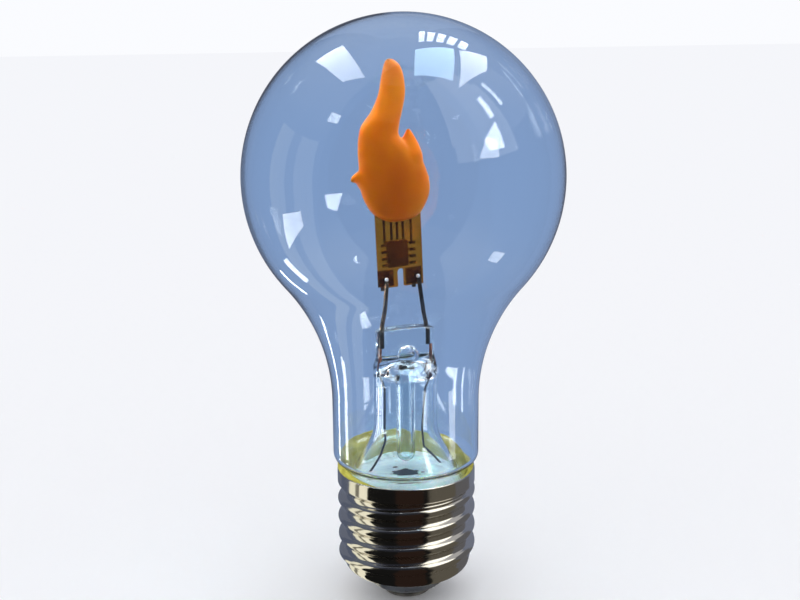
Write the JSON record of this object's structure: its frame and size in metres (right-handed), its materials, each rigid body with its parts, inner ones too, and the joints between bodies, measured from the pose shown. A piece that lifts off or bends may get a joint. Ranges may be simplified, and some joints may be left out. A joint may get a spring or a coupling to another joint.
{
  "type": "flame effect led bulb",
  "caption": "Clear round glass bulb on a rolled screw cap; an orange silicone flame stands inside on an upright board carried by two wires from a pressed glass stem.",
  "frame": {"origin": "centre of the end contact's flat face, at the foot of the screw cap", "axes": "+Z along the lamp's axis from the end contact to the crown of the glass; the board and the flame stand in the XZ plane, and their front looks along -Y"},
  "size_m": [0.059, 0.059, 0.1104],
  "materials": {
    "clear_glass": "clear",
    "stem_glass": "clear",
    "leg_metal": "dull copper-clad wire",
    "dumet_red": "glazed",
    "lead_wire": "dark wire",
    "board_amber": "translucent laminate",
    "board_copper": "dull",
    "solder": "satin",
    "chip_black": "matt",
    "chip_tin": "satin",
    "led_resin": "satin",
    "flame_orange": "translucent silicone",
    "cement_olive": "matt",
    "filler_white": "satin",
    "nickel_shell": "bright nickel",
    "insulator_dark": "satin",
    "contact_brass": "satin",
    "laminate_green": "satin",
    "sleeve_dark": "satin",
    "resistor_blue": "matt"
  },
  "bodies": {
    "root": {"glass_envelope": "clear_glass", "stem_flare": "stem_glass", "exhaust_tube": "stem_glass", "support_leg_left": "leg_metal", "support_leg_right": "leg_metal", "dumet_left": "dumet_red", "dumet_right": "dumet_red", "lower_lead_left": "lead_wire", "lower_lead_right": "lead_wire", "led_board": "board_amber", "board_copper": "board_copper", "leg_solder": "solder", "contact_solder": "solder", "control_chip": "chip_black", "chip_leads": "chip_tin", "leds": "led_resin", "silicone_flame": "flame_orange", "basing_cement": "cement_olive", "potting": "filler_white", "screw_shell": "nickel_shell", "cap_insulator": "insulator_dark", "centre_contact": "contact_brass", "driver_board": "laminate_green", "bridge_rectifier": "chip_black", "smoothing_capacitor": "sleeve_dark", "fusible_resistor": "resistor_blue", "side_wire": "lead_wire"}
  },
  "joints": []
}
